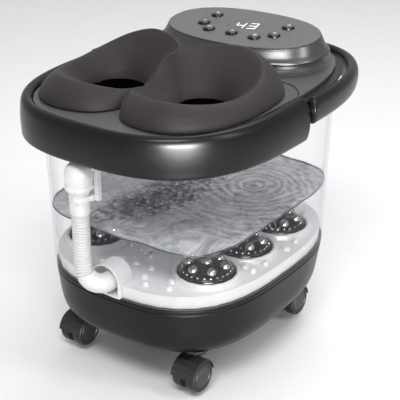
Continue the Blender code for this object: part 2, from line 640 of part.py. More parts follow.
# ---------------------------------------------------------------- control pod
def make_pod():
    def under(drop):
        return lambda y: panel_height(y) - drop

    def over_deck(rise):
        return lambda y: deck_height(y) + GAP + rise

    def pod_oval(half_x, half_y, z):
        return oval(half_x, half_y, POD_Y, z, power=POD_POWER)

    closed_ring("control_pod", [
        pod_oval(0.1270, 0.0765, over_deck(0.0)), pod_oval(0.1262, 0.0757, over_deck(0.0025)),
        pod_oval(0.1225, 0.0720, over_deck(0.0100)), pod_oval(0.1145, 0.0638, under(0.0060)),
        pod_oval(0.1128, 0.0621, under(0.0022)), pod_oval(0.1080, 0.0573, under(0.0022)),
        pod_oval(0.1115, 0.0608, under(0.0070)), pod_oval(0.1240, 0.0735, over_deck(0.0))], POD_GREY)
    face = capped_loft("panel_face", [
        pod_oval(0.1126, 0.0619, under(0.0019)), pod_oval(0.1128, 0.0621, under(0.0008)),
        pod_oval(0.1120, 0.0613, under(0.0))], POD_GREY)
    lean = math.atan(PANEL_SLOPE)
    for _label, x, y in BUTTON_PLACES:
        drill(face, BUTTON_R + 0.0004, 0.02, (x, y, panel_height(y)), (lean, 0, 0))
    window_y = 0.1150
    opening = box("window_hole", (0.0460, 0.0230, 0.02), (0, window_y, panel_height(window_y)), POD_GREY,
                  rotation=(lean, 0, 0), collection=CUTTERS)
    combine(face, opening, "DIFFERENCE")

    def on_panel(x, y, depth):
        normal = Vector((0, -math.sin(lean), math.cos(lean)))
        return Vector((x, y, panel_height(y))) - normal * depth

    box("display_window", (0.0454, 0.0224, 0.0019), on_panel(0, window_y, 0.00095), DISPLAY,
        rotation=(lean, 0, 0))
    board = capped_loft("control_board", [
        pod_oval(0.1000, 0.0500, under(0.0106)), pod_oval(0.1000, 0.0500, under(0.0092))], BOARD, 32)
    digits = box("led_module", (0.0420, 0.0200, 0.0075), on_panel(0, window_y, 0.00595), BOARD,
                 rotation=(lean, 0, 0), collection=CUTTERS)
    combine(board, digits, "UNION")
    for label, x, y in BUTTON_PLACES:
        turned("button_" + label, [
            (0.0, 0.0022), (0.0045, 0.0018), (BUTTON_R, 0.0002), (BUTTON_R, -0.0024), (0.0098, -0.0024),
            (0.0098, -0.0036), (0.0022, -0.0036), (0.0022, -0.0072), (0.0, -0.0072)], BUTTON_BLACK, 10,
            on_panel(x, y, 0.0), (lean, 0, 0))


# ---------------------------------------------------------------- massage drive and inner equipment
def make_massage_drive():
    for row, y in DISC_ROWS:
        for side, sign in SIDES:
            place = (sign * DISC_X, y, 0)
            turned("massage_disc_" + row + "_" + side, [
                (0.0, 0.1645), (0.0160, 0.1630), (0.0290, 0.1580), (0.0360, 0.1500),
                (0.0365, FLOOR_TOP + GAP), (0.0045, FLOOR_TOP + GAP), (0.0045, 0.0985), (0.0, 0.0985)],
                CHROME, 16, place)
            turned("disc_pulley_" + row + "_" + side, [
                (0.0049, 0.1112), (0.0235, 0.1112), (DISC_PULLEY_R, 0.1100), (DISC_PULLEY_R, 0.1020),
                (0.0235, 0.1008), (0.0049, 0.1008)], WHITE, 14, place, closed=True)
    turned("motor_pulley", [
        (0.0, 0.1112), (0.0100, 0.1112), (MOTOR_PULLEY_R, 0.1100), (MOTOR_PULLEY_R, 0.1020),
        (0.0100, 0.1008), (0.0030, 0.1008), (0.0030, 0.0950), (0.0, 0.0950)], WHITE, 12, (0, MOTOR_Y, 0))
    turned("drive_motor", [
        (0.0, 0.0930), (0.0034, 0.0930), (0.0034, 0.0985), (0.0270, 0.0985), (0.0280, 0.0960),
        (0.0280, 0.0700), (0.0200, 0.0660), (0.0, 0.0660)], STEEL, 18, (0, MOTOR_Y, 0))
    make_belt()


def make_belt():
    """Flat belt round the outer side of all the disc pulleys, as a band with round corners."""
    bend = DISC_PULLEY_R + BELT_GAP
    front = DISC_ROWS[0][1]
    rear = DISC_ROWS[2][1]
    corners = ((DISC_X, rear, 0), (-DISC_X, rear, 90), (-DISC_X, front, 180), (DISC_X, front, 270))

    def band(radius):
        points = []
        for x, y, start in corners:
            for k in range(7):
                a = math.radians(start + 15 * k)
                points.append((x + radius * math.cos(a), y + radius * math.sin(a)))
        return points

    plate("drive_belt", [band(bend + BELT_THICK), band(bend)], 0.0070, RUBBER,
          Matrix.Translation((0, 0, 0.1060)))


def make_inner_equipment():
    turned("water_heater", [(0.0, 0.0600), (0.0060, 0.0600), (0.0060, 0.0500), (0.0160, 0.0480),
                            (0.0160, -0.0480), (0.0060, -0.0500), (0.0060, -0.0600), (0.0, -0.0600)],
           STEEL, 16, (0, -0.0350, 0.0860), (-math.pi / 2, 0, 0))
    box("air_pump", (0.0500, 0.0700, 0.0300), (-0.0560, 0.0250, 0.0800), BASE_BLACK, 0.004)
    power = box("power_board", (0.0500, 0.0900, 0.0016), (0.0560, 0.0250, 0.0720), BOARD)
    block = box("power_transformer", (0.0300, 0.0320, 0.0200), (0.0560, 0.0050, 0.0825), BOARD,
                collection=CUTTERS)
    combine(power, block, "UNION")


make_base()
make_casters()
make_tub()
make_drain_hose()
make_deck()
make_rim()
make_handle()
make_foot_cover()
make_pod()
make_massage_drive()
make_inner_equipment()
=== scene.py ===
"""Foot spa basin on casters: materials, detailed pieces, light and camera over the CAD frame."""
import math
import random

import bmesh
import bpy
import numpy as np
from mathutils import Matrix, Vector


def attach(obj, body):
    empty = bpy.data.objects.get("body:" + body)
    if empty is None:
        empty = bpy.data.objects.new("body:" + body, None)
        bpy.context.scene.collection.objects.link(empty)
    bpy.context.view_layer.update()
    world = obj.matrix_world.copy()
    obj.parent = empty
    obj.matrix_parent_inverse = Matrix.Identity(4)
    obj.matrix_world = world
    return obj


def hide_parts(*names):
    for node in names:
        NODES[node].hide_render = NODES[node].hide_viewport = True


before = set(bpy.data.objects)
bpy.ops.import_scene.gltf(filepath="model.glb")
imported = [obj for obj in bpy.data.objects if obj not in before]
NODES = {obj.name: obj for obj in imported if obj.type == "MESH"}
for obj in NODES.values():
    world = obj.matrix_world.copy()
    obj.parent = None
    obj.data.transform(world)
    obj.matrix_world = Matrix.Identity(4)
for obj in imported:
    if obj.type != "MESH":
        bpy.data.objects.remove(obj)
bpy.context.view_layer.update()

SCENE = bpy.context.scene

# ---------------------------------------------------------------- measures shared with the CAD
DECK_SLOPE = 0.024
DECK_ZERO_Z = 0.363064          # height of the deck plane over the origin
PANEL_SLOPE = 0.097
PANEL_ZERO_Z = 0.392426
PANEL_LEAN = math.atan(PANEL_SLOPE)
POD_Y = 0.1096
POD_POWER = 2.34
PLAN_POWER = 2.9
FLOOR_TOP = 0.1450
WATER_Z = 0.2070
WATER_HALF_X = 0.1428
WATER_HALF_Y = 0.1688
TUB_CENTRE_Y = -0.0080
SWIRL = (0.060, 0.050)          # middle of the rings on the water
DISC_X = 0.090
DISC_ROWS = (("front", -0.100), ("middle", -0.015), ("rear", 0.070))
BEAD_RADIUS = 0.0056
BEAD_CLEAR = 0.0475             # from a disc's middle to the nearest bead
SIDES = (("left", -1), ("right", 1))
HANDLE_PIVOT = Vector((0.0, 0.0265, 0.3500))
BUTTON_PLACES = (("power", 0.0575, 0.1316), ("heat", 0.0562, 0.0983), ("timer", 0.0361, 0.0812),
                 ("bubble", 0.0, 0.0819), ("massage", -0.0361, 0.0812), ("light", -0.0562, 0.0983),
                 ("mode", -0.0575, 0.1316))
CASTER_X = 0.0950
CASTER_STEMS = (("front", -0.1295), ("rear", 0.1077))
CASTER_TRAIL = 0.0087
WHEEL_R = 0.0210
HOSE_R = 0.0120
HOSE_X = -0.0175
HOSE_Y = -0.2100
HOSE_TOP = 0.2720
HOSE_ELBOW = 0.0480             # plain length at the niche
HOSE_SLEEVE = 0.0280            # plain length at the cap
HOSE_PITCH = 0.0038             # from one groove to the next
LIGHT_AIM = Vector((0.0, 0.0, 0.22))
VIEW_AZIMUTH = math.radians(35.79)
VIEW_ELEVATION = math.radians(24.61)
VIEW_DISTANCE = 1.400
VIEW_LENS = 95.44


# ---------------------------------------------------------------- materials
def add_node(tree, kind, **inputs):
    node = tree.nodes.new(kind)
    for key, value in inputs.items():
        node.inputs[key.replace("_", " ")].default_value = value
    return node


def noise(tree, coords, scale, detail=4.0, roughness=0.5, distortion=0.0):
    node = add_node(tree, "ShaderNodeTexNoise", Scale=scale, Detail=detail, Roughness=roughness,
                    Distortion=distortion)
    tree.links.new(coords, node.inputs["Vector"])
    return node.outputs["Fac"]


def remap(tree, source, low, high, from_low=0.3, from_high=0.7):
    node = tree.nodes.new("ShaderNodeMapRange")
    node.inputs["From Min"].default_value = from_low
    node.inputs["From Max"].default_value = from_high
    node.inputs["To Min"].default_value = low
    node.inputs["To Max"].default_value = high
    tree.links.new(source, node.inputs["Value"])
    return node.outputs["Result"]


def ramp(tree, source, stops):
    node = tree.nodes.new("ShaderNodeValToRGB")
    elements = node.color_ramp.elements
    while len(elements) < len(stops):
        elements.new(0.5)
    for element, (place, colour) in zip(elements, stops):
        element.position = place
        element.color = (*colour, 1.0)
    tree.links.new(source, node.inputs["Fac"])
    return node.outputs["Color"]


def bump(tree, height, strength, distance):
    node = add_node(tree, "ShaderNodeBump", Strength=strength, Distance=distance)
    tree.links.new(height, node.inputs["Height"])
    return node.outputs["Normal"]


def new_tree(name):
    """Node material with its shader and object coordinates."""
    material = bpy.data.materials.new(name)
    material.use_nodes = True
    tree = material.node_tree
    coords = tree.nodes.new("ShaderNodeTexCoord").outputs["Object"]
    return material, tree, tree.nodes["Principled BSDF"], coords


def shade(colour, factor):
    return tuple(min(1.0, c * factor) for c in colour)


def moulded(name, colour, rough, grain=900.0, grain_depth=0.00002, spread=0.12, metallic=0.0,
            rough_spread=0.03, specular=0.5, sheen=0.0):
    """Moulded plastic or metal with a fine grain, cloudy tone and slight changes of gloss."""
    material, tree, shader, coords = new_tree(name)
    cloud = noise(tree, coords, 14.0, 5.0, 0.6)
    tone = ramp(tree, cloud, [(0.3, shade(colour, 1 - spread)), (0.7, shade(colour, 1 + spread))])
    tree.links.new(tone, shader.inputs["Base Color"])
    smudge = noise(tree, coords, 45.0, 3.0)
    gloss = remap(tree, smudge, rough - rough_spread, rough + rough_spread)
    tree.links.new(gloss, shader.inputs["Roughness"])
    fine = noise(tree, coords, grain, 2.0)
    tree.links.new(bump(tree, fine, 0.5, grain_depth), shader.inputs["Normal"])
    shader.inputs["Metallic"].default_value = metallic
    shader.inputs["Specular IOR Level"].default_value = specular
    shader.inputs["Sheen Weight"].default_value = sheen
    return material


CHARCOAL = moulded("charcoal_satin", (0.0070, 0.0070, 0.0072), 0.29, spread=0.05, rough_spread=0.02,
                   specular=0.24)
BASE = moulded("base_black", (0.0060, 0.0060, 0.0062), 0.34, spread=0.05, rough_spread=0.02,
               specular=0.20)
DECK = moulded("deck_grey", (0.082, 0.082, 0.083), 0.40, spread=0.05, rough_spread=0.02, specular=0.4)
POD = moulded("pod_grey", (0.120, 0.120, 0.122), 0.30, metallic=0.85, spread=0.04, rough_spread=0.02)
PANEL = moulded("panel_grey", (0.120, 0.120, 0.122), 0.40, spread=0.04, rough_spread=0.02, specular=0.4)
WHITE = moulded("white_plastic", (0.76, 0.76, 0.765), 0.32, spread=0.03, specular=0.35)
HOSE_WHITE = moulded("hose_white", (0.72, 0.72, 0.715), 0.42, spread=0.03, specular=0.3)
SILICONE = moulded("cuff_silicone", (0.030, 0.0255, 0.0240), 0.55, grain=1400.0, grain_depth=0.00003,
                   spread=0.06, specular=0.20, sheen=0.04)
# Near-black, matt and without specular: painted shade down the throat of each cuff hole.
HOLE_SHADE = moulded("hole_painted_shade", (0.0012, 0.0012, 0.0012), 0.85, specular=0.0)
# Glossy near-black standing in for shade: painted shade in the gap round each key and along the lid-to-deck
# joint.
SHADE_BLACK = moulded("painted_shade_black", (0.006, 0.006, 0.006), 0.15, specular=0.3)
KEY_TOP = moulded("key_top", (0.120, 0.120, 0.122), 0.50, specular=0.15)
CHROME = moulded("dark_chrome", (0.024, 0.020, 0.018), 0.15, metallic=1.0, spread=0.5, grain=260.0,
                 grain_depth=0.00015)
BALL = moulded("ball_chrome", (0.36, 0.33, 0.32), 0.05, metallic=1.0, spread=0.2)
RUBBER = moulded("seal_rubber", (0.020, 0.020, 0.020), 0.70)
STEEL = moulded("pin_steel", (0.55, 0.55, 0.56), 0.28, metallic=1.0)
BOARD = moulded("circuit_board", (0.020, 0.110, 0.045), 0.45)
CASTER = moulded("caster_plastic", (0.020, 0.020, 0.0205), 0.42, specular=0.35)
TYRE = moulded("caster_tyre", (0.016, 0.016, 0.0165), 0.50, specular=0.3)
HUB = moulded("caster_hub", (0.045, 0.045, 0.046), 0.45, specular=0.35)


def glassy(name, colour, face_alpha, edge_alpha, rough):
    """Thin clear wall: nearly invisible face on, denser at glancing angles."""
    material, tree, shader, coords = new_tree(name)
    weight = add_node(tree, "ShaderNodeLayerWeight", Blend=0.25)
    alpha = remap(tree, weight.outputs["Facing"], face_alpha, edge_alpha, 0.35, 0.95)
    shader.inputs["Alpha"].default_value = face_alpha
    tree.links.new(alpha, shader.inputs["Alpha"])
    cloud = noise(tree, coords, 9.0, 3.0)
    tone = ramp(tree, cloud, [(0.3, shade(colour, 0.96)), (0.7, colour)])
    tree.links.new(tone, shader.inputs["Base Color"])
    gloss = remap(tree, noise(tree, coords, 30.0), rough * 0.7, rough * 1.5)
    tree.links.new(gloss, shader.inputs["Roughness"])
    shader.inputs["Specular IOR Level"].default_value = 0.8
    return material


CLEAR = glassy("clear_plastic", (0.55, 0.57, 0.60), 0.03, 0.50, 0.04)
# Also used for the painted highlight line along the water's edge.
BUBBLE_AND_EDGE_GLINT = glassy("bubble_film_and_edge_glint", (0.66, 0.67, 0.72), 0.10, 0.60, 0.03)


def oval_mask(tree, coords, centre, turn, size):
    """One in the middle of an ellipse on the water, falling to nought at its edge."""
    place = tree.nodes.new("ShaderNodeMapping")
    place.vector_type = "TEXTURE"
    place.inputs["Location"].default_value = (*centre, WATER_Z)
    place.inputs["Rotation"].default_value = (0.0, 0.0, turn)
    place.inputs["Scale"].default_value = (*size, 1.0)
    tree.links.new(coords, place.inputs["Vector"])
    gradient = tree.nodes.new("ShaderNodeTexGradient")
    gradient.gradient_type = "SPHERICAL"
    tree.links.new(place.outputs["Vector"], gradient.inputs["Vector"])
    return gradient.outputs["Fac"]


def maths(tree, operation, first, second):
    """Sum, product and so on of two sockets or numbers."""
    node = tree.nodes.new("ShaderNodeMath")
    node.operation = operation
    for socket, value in zip(node.inputs, (first, second)):
        if isinstance(value, float):
            socket.default_value = value
        else:
            tree.links.new(value, socket)
    return node.outputs["Value"]


def water_top():
    """Stirred water: rings round the swirl, curling streaks and a trail of foam bubbles; their light and
    dark tones are painted reflection and shade, and the bubbles' bright middles are painted glints.
    """
    material, tree, shader, coords = new_tree("water_surface")
    shift = tree.nodes.new("ShaderNodeMapping")
    shift.inputs["Location"].default_value = (-SWIRL[0], -SWIRL[1], 0.0)
    tree.links.new(coords, shift.inputs["Vector"])
    wave = add_node(tree, "ShaderNodeTexWave", Scale=26.0, Distortion=8.0, Detail=6.0, Detail_Scale=1.2)
    wave.wave_type = "RINGS"
    wave.rings_direction = "Z"
    tree.links.new(shift.outputs["Vector"], wave.inputs["Vector"])
    streak = remap(tree, noise(tree, coords, 17.0, 10.0, 0.74, 2.6), 0.26, 0.70, 0.30, 0.70)
    swirl = oval_mask(tree, coords, SWIRL, 0.0, (0.150, 0.190))
    rings = maths(tree, "MULTIPLY", maths(tree, "SUBTRACT", wave.outputs["Fac"], 0.5),
                  maths(tree, "MULTIPLY", swirl, 0.27))
    base = maths(tree, "ADD", streak, rings)
    trail = oval_mask(tree, coords, (-0.016, -0.050), -0.25, (0.052, 0.125))
    ragged = remap(tree, noise(tree, coords, 38.0, 6.0, 0.7, 1.0), 0.0, 1.6, 0.40, 0.62)
    mask = maths(tree, "MULTIPLY", remap(tree, trail, 0.0, 1.0, 0.0, 0.55), ragged)
    cells = add_node(tree, "ShaderNodeTexVoronoi", Scale=120.0, Randomness=1.0)
    tree.links.new(coords, cells.inputs["Vector"])
    # Bright middles falling to dark rims on each bubble cell: painted glints.
    bubble_glints = maths(tree, "SUBTRACT", 0.55, maths(tree, "MULTIPLY", cells.outputs["Distance"], 1.5))
    foam = maths(tree, "MULTIPLY", mask, bubble_glints)
    total = maths(tree, "ADD", base, foam)
    # Tones from blue-black to white: painted reflection and shade of the stirred surface, with whitish foam.
    tone = ramp(tree, total, [
        (0.22, (0.060, 0.063, 0.110)), (0.33, (0.260, 0.265, 0.320)), (0.43, (0.480, 0.485, 0.530)),
        (0.53, (0.700, 0.705, 0.740)), (0.66, (1.000, 1.000, 1.000))])
    tree.links.new(tone, shader.inputs["Base Color"])
    tree.links.new(remap(tree, streak, 0.06, 0.16), shader.inputs["Roughness"])
    tree.links.new(bump(tree, total, 0.9, 0.0040), shader.inputs["Normal"])
    shader.inputs["Alpha"].default_value = 0.86
    return material


WATER = water_top()


def glow(name, colour, strength):
    """Lit segment with a slight unevenness across it."""
    material, tree, shader, coords = new_tree(name)
    tone = ramp(tree, noise(tree, coords, 400.0), [(0.3, shade(colour, 0.9)), (0.7, colour)])
    tree.links.new(tone, shader.inputs["Base Color"])
    tree.links.new(tone, shader.inputs["Emission Color"])
    shader.inputs["Emission Strength"].default_value = strength
    return material


LED = glow("led_white", (1.0, 1.0, 1.0), 1.6)
# White printed marks with a faint painted glow on top.
MARK_PRINT_GLOW = glow("key_mark_painted_glow", (0.90, 0.90, 0.90), 0.15)
# Blue-black ring where the water meets the wall: painted shade.
WATER_EDGE_SHADE = moulded("water_edge_painted_shade", (0.045, 0.050, 0.090), 0.10, spread=0.7)


# ---------------------------------------------------------------- mesh building blocks
def piece(name, bm, materials, body, replaces=(), sharp=42.0):
    """Turns a mesh into a named piece that rides on a body and takes over CAD nodes."""
    bmesh.ops.recalc_face_normals(bm, faces=bm.faces)
    mesh = bpy.data.meshes.new(name)
    bm.to_mesh(mesh)
    bm.free()
    mesh.shade_smooth()
    mesh.set_sharp_from_angle(angle=math.radians(sharp))
    for material in materials:
        mesh.materials.append(material)
    thing = bpy.data.objects.new(name, mesh)
    SCENE.collection.objects.link(thing)
    if replaces:
        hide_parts(*replaces)
    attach(thing, body)
    return thing


def smooth_rows(rows, per_span, closed=False):
    """Rows of numbers refined by a Catmull-Rom curve through them."""
    rows = np.array(rows, float)
    count = len(rows)
    spans = count if closed else count - 1
    out = []
    for k in range(spans):
        picks = [k - 1, k, k + 1, k + 2]
        if closed:
            a, b, c, d = (rows[i % count] for i in picks)
        else:
            a, b, c, d = (rows[min(max(i, 0), count - 1)] for i in picks)
        for i in range(per_span):
            t = i / per_span
            out.append(0.5 * (2 * b + (c - a) * t + (2 * a - 5 * b + 4 * c - d) * t ** 2
                              + (3 * b - a - 3 * c + d) * t ** 3))
    if not closed:
        out.append(rows[-1])
    return out


def oval_point(row, angle):
    """Point of a plan ring: row is half x, front, rear, centre y, height at y 0, slope, power."""
    half_x, front, rear, centre_y, zero_z, slope, power = row
    c = math.cos(angle)
    s = math.sin(angle)
    half_y = rear if s > 0 else front
    reach = (abs(c / half_x) ** power + abs(s / half_y) ** power) ** (-1.0 / power)
    y = centre_y + reach * s
    return Vector((reach * c, y, zero_z + slope * y))


def full_ring(row, steps=160):
    return [oval_point(row, math.tau * k / steps) for k in range(steps)]


def bridge(bm, first, second, closed, material=0):
    """Quads between two rows of vertices."""
    count = len(first)
    for k in range(count if closed else count - 1):
        nxt = (k + 1) % count
        face = bm.faces.new((first[k], first[nxt], second[nxt], second[k]))
        face.material_index = material


def skin(bm, loops, wrap_loop=True, wrap_profile=False, material=0):
    """Joins point loops into a surface and returns their vertices."""
    verts = [[bm.verts.new(p) for p in loop] for loop in loops]
    count = len(verts)
    for k in range(count if wrap_profile else count - 1):
        bridge(bm, verts[k], verts[(k + 1) % count], wrap_loop, material)
    return verts


def lathe(bm, profile, steps=40, matrix=Matrix.Identity(4), material=0):
    """Surface of revolution about local Z from (radius, height) points."""
    rings = []
    for radius, z in profile:
        if radius < 1e-6:
            rings.append([bm.verts.new(matrix @ Vector((0, 0, z)))])
            continue
        rings.append([bm.verts.new(matrix @ Vector((radius * math.cos(math.tau * k / steps),
                                                    radius * math.sin(math.tau * k / steps), z)))
                      for k in range(steps)])
    for first, second in zip(rings, rings[1:]):
        if len(first) == 1 or len(second) == 1:
            tip, ring = (first[0], second) if len(first) == 1 else (second[0], first)
            for k in range(steps):
                bm.faces.new((tip, ring[k], ring[(k + 1) % steps])).material_index = material
        else:
            bridge(bm, first, second, True, material)


def ball(bm, centre, radius, material=0, squash=1.0, detail=2):
    """Small ball added to the mesh, flattened by squash."""
    made = bmesh.ops.create_icosphere(bm, subdivisions=detail, radius=radius)
    for vert in made["verts"]:
        vert.co = Vector((vert.co.x, vert.co.y, vert.co.z * squash)) + centre
    for face in {f for v in made["verts"] for f in v.link_faces}:
        face.material_index = material


def level(half_x, front, rear, centre_y, z, power=PLAN_POWER):
    """Row for a level plan ring, as oval_point takes it."""
    return half_x, front, rear, centre_y, z, 0.0, power


def deck_height(y):
    """Height of the sloping deck plane over the line y."""
    return DECK_ZERO_Z + DECK_SLOPE * y


# ---------------------------------------------------------------- base
def build_base():
    """Base moulding: seat for the tub, shadow line and sides that draw in to the underside."""
    rows = [level(0.1440, 0.1715, 0.1715, -0.0075, 0.1180), level(0.1440, 0.1715, 0.1715, -0.0075, 0.1264),
            level(0.1441, 0.1716, 0.1716, -0.0075, 0.1264), level(0.1515, 0.1796, 0.1796, -0.0075, 0.1264),
            level(0.1523, 0.1804, 0.1804, -0.0075, 0.1258), level(0.1524, 0.1805, 0.1805, -0.0075, 0.1246),
            level(0.1522, 0.1803, 0.1803, -0.0075, 0.1218), level(0.1514, 0.1795, 0.1795, -0.0076, 0.1212),
            level(0.1513, 0.1794, 0.1794, -0.0076, 0.1200), level(0.1520, 0.1801, 0.1801, -0.0077, 0.1194),
            level(0.1518, 0.1798, 0.1798, -0.0078, 0.1170), level(0.1502, 0.1775, 0.1775, -0.0086, 0.1030),
            level(0.1490, 0.1753, 0.1753, -0.0094, 0.0900), level(0.1474, 0.1727, 0.1727, -0.0101, 0.0780),
            level(0.1448, 0.1695, 0.1695, -0.0112, 0.0690), level(0.1412, 0.1646, 0.1646, -0.0126, 0.0628),
            level(0.1385, 0.1602, 0.1602, -0.0138, 0.0600), level(0.1340, 0.1545, 0.1545, -0.0140, 0.0583),
            level(0.1325, 0.1530, 0.1530, -0.0140, 0.0580), level(0.0700, 0.1050, 0.1050, -0.0120, 0.0580)]
    bm = bmesh.new()
    skin(bm, [full_ring(r) for r in smooth_rows(rows, 3)])
    piece("base_moulding", bm, [BASE], "basin", ["base_shell"], 55.0)


# ---------------------------------------------------------------- rim
def arc_section(row, y_end, rear, fractions):
    """Front or rear part of a plan ring, cut off on both sides at the line y_end."""
    half_x, front, back, centre_y, _z, _slope, power = row
    half_y = back if y_end > centre_y else front
    x = half_x * (1.0 - abs((y_end - centre_y) / half_y) ** power) ** (1.0 / power)
    start = math.atan2(y_end - centre_y, x)
    stop = math.pi - start
    if not rear:
        stop -= math.tau
    return [oval_point(row, start + (stop - start) * f) for f in fractions]


def soft_ends(loops, shrink):
    """Draws the sections near both ends towards their middle, so that the ends are rounded."""
    count = len(loops[0])
    for k, factor in enumerate(shrink):
        for index in (k, count - 1 - k):
            middle = sum((loop[index] for loop in loops), Vector()) / len(loops)
            for loop in loops:
                loop[index] = middle + (loop[index] - middle) * factor
    return loops


def end_fractions(near, steps):
    """Fractions along an arc, packed closer near both ends."""
    inner = near[-1] * 2
    middle = [inner + (1 - 2 * inner) * k / steps for k in range(steps + 1)]
    return near + middle + [1 - f for f in near[::-1]]


def build_bumper():
    """Front half of the rim, a rolled section that hangs over the tub's top edge."""
    profile = [
        (0.1525, 0.1775, -0.0345, 0.3582, 1, 2.9), (0.1545, 0.1795, -0.0342, 0.3612, 1, 2.88),
        (0.1580, 0.1825, -0.0335, 0.3631, 1, 2.85), (0.1655, 0.1900, -0.0320, 0.3635, 0.9, 2.75),
        (0.1725, 0.1970, -0.0300, 0.3580, 0.6, 2.65), (0.1758, 0.2000, -0.0290, 0.3460, 0.2, 2.6),
        (0.1765, 0.2006, -0.0288, 0.3340, 0, 2.6), (0.1750, 0.1992, -0.0290, 0.3230, 0, 2.65),
        (0.1722, 0.1968, -0.0295, 0.3155, 0, 2.75), (0.1685, 0.1930, -0.0300, 0.3145, 0, 2.8),
        (0.1680, 0.1925, -0.0300, 0.3175, 0, 2.8), (0.1721, 0.1965, -0.0290, 0.3250, 0, 2.7),
        (0.1734, 0.1976, -0.0288, 0.3345, 0, 2.65), (0.1727, 0.1970, -0.0290, 0.3452, 0.2, 2.65),
        (0.1699, 0.1945, -0.0300, 0.3552, 0.6, 2.7), (0.1650, 0.1890, -0.0320, 0.3602, 0.9, 2.8),
        (0.1587, 0.1832, -0.0335, 0.3598, 1, 2.85), (0.1525, 0.1775, -0.0345, 0.3558, 1, 2.9)]
    rows = [(a, b, b, yc, z + share * DECK_SLOPE * 0.211, share * DECK_SLOPE, power)
            for a, b, yc, z, share, power in profile]
    fractions = end_fractions([0.0, 0.0012, 0.003, 0.006], 110)
    loops = [arc_section(r, -0.0060, False, fractions) for r in smooth_rows(rows, 4, True)]
    bm = bmesh.new()
    verts = skin(bm, soft_ends(loops, [0.93, 0.975, 0.993]), False, True)
    bm.faces.new([loop[0] for loop in verts])
    bm.faces.new([loop[-1] for loop in verts])
    piece("rim_front", bm, [CHARCOAL], "basin", ["rim_bumper"], 60.0)


def handle_nose(p):
    """Rounds the hoop's end in front of its pin."""
    reach = 0.0300
    back = HANDLE_PIVOT.y - p.y
    if back <= 0:
        return p
    scale = min(1.0, math.sqrt(max(0.0, reach ** 2 - back ** 2)) / 0.0175)
    middle = HANDLE_PIVOT.z + 0.0010
    return Vector((p.x, p.y, middle + (p.z - middle) * scale))


def build_handle():
    """Carry handle: the rear half of the rim as a hoop on two pins."""
    outlines = [(0.1680, 0.2435, 0.3350), (0.1675, 0.2418, 0.3400), (0.1675, 0.2418, 0.3615),
                (0.1694, 0.2438, 0.3665), (0.1727, 0.2482, 0.3678), (0.1768, 0.2533, 0.3660),
                (0.1798, 0.2564, 0.3605), (0.1806, 0.2579, 0.3520), (0.1794, 0.2560, 0.3410),
                (0.1762, 0.2528, 0.3350), (0.1710, 0.2475, 0.3338)]
    rows = [level(a, 0.2, rear, -0.0285, z) for a, rear, z in outlines]
    fractions = end_fractions([0.0, 0.002, 0.005, 0.010, 0.018], 110)
    loops = [[handle_nose(p) for p in arc_section(r, -0.0030, True, fractions)]
             for r in smooth_rows(rows, 4, True)]
    bm = bmesh.new()
    verts = skin(bm, soft_ends(loops, [0.90, 0.97]), False, True)
    bm.faces.new([loop[0] for loop in verts])
    bm.faces.new([loop[-1] for loop in verts])
    piece("carry_hoop", bm, [CHARCOAL], "handle", ["carry_handle"], 60.0)


# ---------------------------------------------------------------- foot cover
LIP_POINTS = (
    (0.1267, -0.0720, 0.3841), (0.1202, -0.0321, 0.3921), (0.1011, -0.0043, 0.4041),
    (0.0715, 0.0056, 0.4122), (0.0380, -0.0020, 0.4105), (0.0120, -0.0180, 0.4060),
    (0.0002, -0.0380, 0.4060), (0.0000, -0.0580, 0.4050), (0.0000, -0.0730, 0.3985),
    (0.0000, -0.0860, 0.3840), (0.0000, -0.1000, 0.3775), (0.0000, -0.1180, 0.3800),
    (0.0030, -0.1330, 0.3816), (0.0150, -0.1440, 0.3828), (0.0400, -0.1530, 0.3850),
    (0.0715, -0.1584, 0.3874), (0.1010, -0.1463, 0.3863), (0.1202, -0.1140, 0.3833))
CUFF_X = 0.0665
CUFF_Y = -0.0770
HOLE_RADIUS = 0.0365
HOLE_DROP = 0.0082
RELIEF_RADIUS = 0.0382
RELIEF_DROP = 0.0020
SKIRT_RADIUS = 0.0466
SKIRT_TIP_OUTER = 0.0412
SKIRT_TIP_INNER = 0.0375
SKIRT_DROP = 0.0340
HOLE_SHADE_REACH = 0.0398
SEAM_REACH = 0.1490
SEAM_WIDTH = 0.0018
SEAM_STEPS = 96


def cuff_section(lip):
    """One section of a cuff: skirt, hole edge, funnel wall, rounded lip, outer slope and foot."""
    a = math.atan2((lip.y + 0.0742) / 0.082, (lip.x - 0.0675) / 0.0632)
    around = Vector((math.cos(a), math.sin(a), 0))
    middle = Vector((CUFF_X, CUFF_Y, 0))
    hole = middle + HOLE_RADIUS * around
    skirt = middle + SKIRT_RADIUS * around
    tip = middle + SKIRT_TIP_OUTER * around
    power = 2.8 if around.x <= 0 or around.y > 0 else 2.05
    foot = oval_point((0.0775, 0.1110, 0.1110, -0.0785, 0.0, 0.0, power), a) + Vector((0.0700, 0, 0))
    for edge in (hole, skirt, foot, tip):
        edge.z = deck_height(edge.y) + 0.0003

    def between(start, share, height):
        point = start.lerp(lip, share)
        point.z = start.z + height * (lip.z - start.z)
        return point

    edge = hole - Vector((0, 0, HOLE_DROP))
    ridge = max(0.0, -around.x)
    inner = [between(edge, share, full + (lean - full) * ridge)
             for share, full, lean in ((0.10, 0.21, 0.16), (0.26, 0.40, 0.32), (0.45, 0.58, 0.47),
                                       (0.66, 0.75, 0.66), (0.85, 0.91, 0.84), (0.96, 0.98, 0.95))]
    outer = [between(foot, 0.91, 0.99), between(foot, 0.80, 0.94), between(foot, 0.60, 0.83),
             between(foot, 0.36, 0.64), between(foot, 0.16, 0.40), between(foot, 0.04, 0.15)]
    relief = middle + RELIEF_RADIUS * around
    relief.z = edge.z - RELIEF_DROP
    tip.z -= SKIRT_DROP
    bottom = middle + SKIRT_TIP_INNER * around
    bottom.z = tip.z
    return [bottom, relief, edge] + inner + [lip] + outer + [foot, skirt, tip]


